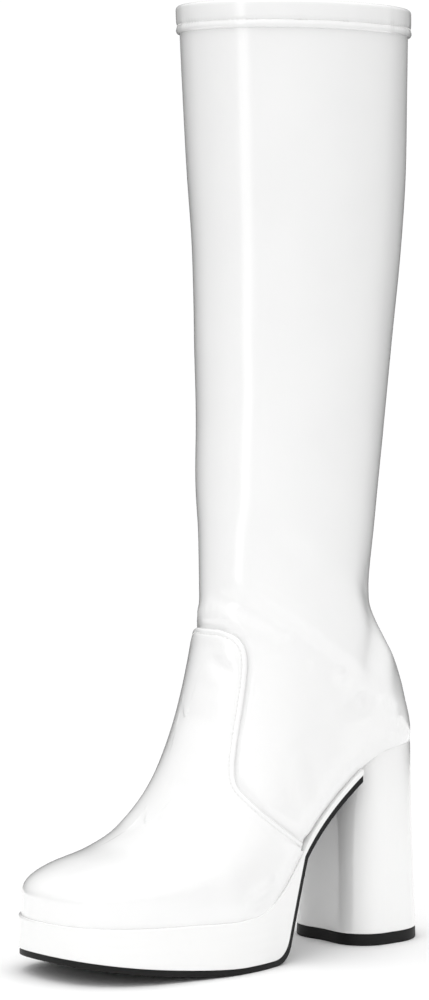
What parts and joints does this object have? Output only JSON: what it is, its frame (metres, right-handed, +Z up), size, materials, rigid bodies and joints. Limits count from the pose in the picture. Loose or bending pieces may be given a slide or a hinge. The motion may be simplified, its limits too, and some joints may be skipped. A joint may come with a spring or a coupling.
{
  "type": "go go boot",
  "caption": "Knee-high go go boot with a stretch upper, lapped vamp, hemmed topline, wrapped platform and a flared block heel.",
  "frame": {"origin": "centre of the heel's foot, on the floor", "axes": "+Z up the shaft, toe towards -Y, outer side of the left foot towards +X"},
  "size_m": [0.106, 0.2396, 0.4974],
  "materials": {
    "white_patent": "glossy white stretch patent, softly creased",
    "white_wrap": "glossy white patent wrapped over a hard platform and heel",
    "black_rubber": "matt black moulded rubber with a fine tread",
    "pale_lining": "pale brushed textile lining and sock"
  },
  "bodies": {
    "root": {"upper": "white_patent", "vamp": "white_patent", "collar_hem": "white_patent", "insole": "pale_lining", "platform": "white_wrap", "outsole": "black_rubber", "heel_block": "white_wrap", "heel_top_piece": "black_rubber"}
  },
  "joints": []
}
